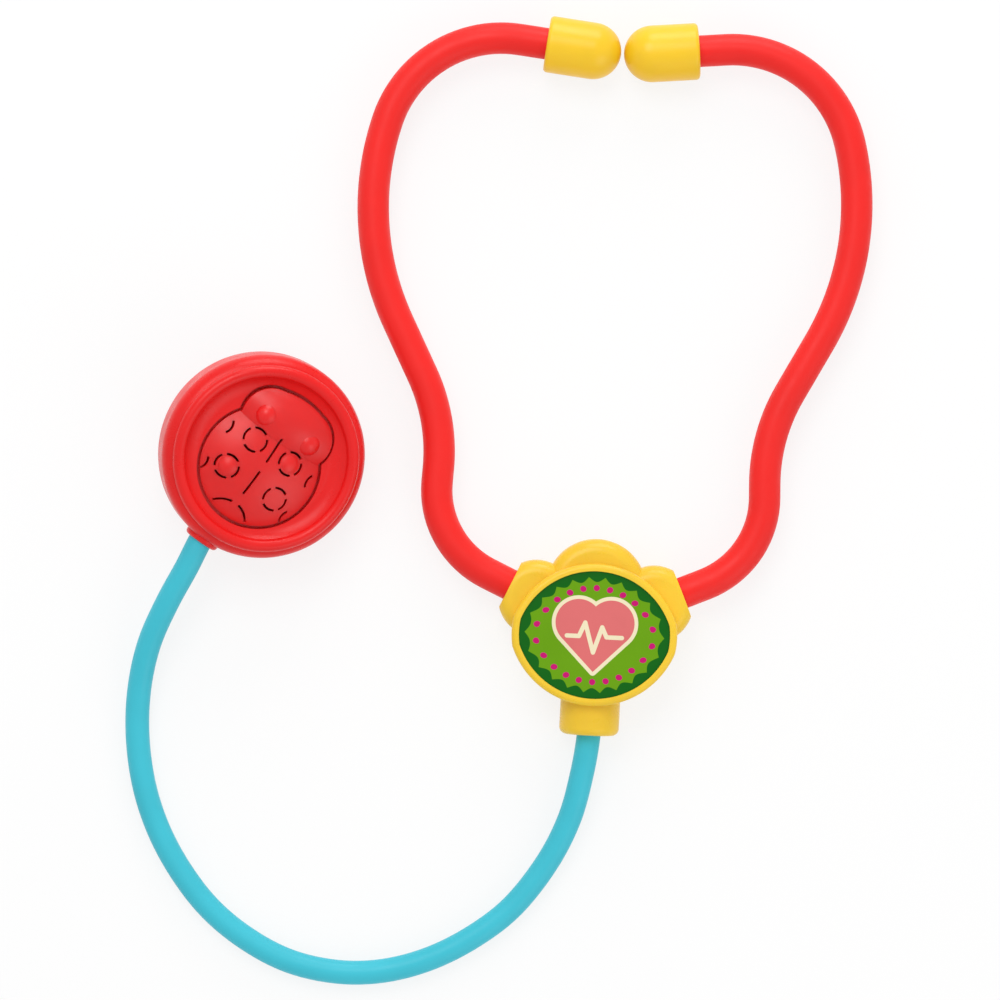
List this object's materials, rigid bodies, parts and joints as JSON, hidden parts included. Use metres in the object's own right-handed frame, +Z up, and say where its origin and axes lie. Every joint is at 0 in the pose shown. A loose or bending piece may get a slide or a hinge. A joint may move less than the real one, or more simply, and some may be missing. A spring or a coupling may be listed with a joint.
{
  "type": "toy stethoscope",
  "caption": "Toy stethoscope lying flat: springy red headset tubes with yellow ear tips, a yellow oval hub, a blue hose and a round red chest piece with a ladybird press button.",
  "frame": {"origin": "middle of the hub's flat back, on the surface that the toy lies on", "axes": "+Y from the hub towards the ear tips in the headset's mirror plane, +Z up from the surface, +X to the right seen from above"},
  "size_m": [0.2163, 0.2936, 0.0339],
  "materials": {
    "yellow_plastic": "smooth moulded plastic",
    "yellow_soft": "soft moulded ear tip",
    "red_tube": "smooth soft tube",
    "blue_hose": "smooth soft hose",
    "red_plastic": "smooth moulded plastic",
    "print_plate": "printed plate",
    "white_plastic": "plain moulded plastic",
    "speaker_cone": "pressed cone",
    "board": "circuit board",
    "grey_rubber": "moulded rubber",
    "steel": "plain steel"
  },
  "bodies": {
    "base": {"left_tube_flex": "red_tube", "right_tube_flex": "red_tube", "left_tube_plug": "white_plastic", "right_tube_plug": "white_plastic", "yoke_back": "yellow_plastic", "yoke_front": "yellow_plastic", "yoke_screws": "steel", "badge_frame": "yellow_plastic", "badge_insert": "print_plate", "hose_collar": "yellow_plastic", "hub_hose_plug": "white_plastic", "hose": "blue_hose", "chest_hose_plug": "white_plastic", "chest_back": "red_plastic", "chest_front": "red_plastic", "chest_screws": "steel", "button_springs": "steel", "switch_dome": "grey_rubber", "speaker_frame": "red_plastic", "speaker": "speaker_cone", "circuit_board": "board", "cells": "steel", "cell_contacts": "steel", "battery_door": "red_plastic", "door_screw": "steel"},
    "left_arm": {"left_arm_tube": "red_tube", "left_ear_tip": "yellow_soft"},
    "right_arm": {"right_arm_tube": "red_tube", "right_ear_tip": "yellow_soft"},
    "button": {"button": "red_plastic"}
  },
  "joints": [
    {"name": "left_arm_flex", "type": "hinge", "parent": "base", "child": "left_arm", "pos_m": [-0.045, 0.0274, 0.0085], "axis": [0, 0, 1], "range_deg": [0, 16], "stiffness_Nm_per_rad": 0.03, "deforming": ["left_tube_flex"]},
    {"name": "right_arm_flex", "type": "hinge", "parent": "base", "child": "right_arm", "pos_m": [0.045, 0.0274, 0.0085], "axis": [0, 0, -1], "range_deg": [0, 16], "stiffness_Nm_per_rad": 0.03, "deforming": ["right_tube_flex"]},
    {"name": "button_press", "type": "slide", "parent": "base", "child": "button", "axis": [-0.204, 0.13, -0.9703], "range_m": [0, 0.002], "stiffness_N_per_m": 600, "deforming": ["button_springs", "switch_dome"]}
  ]
}
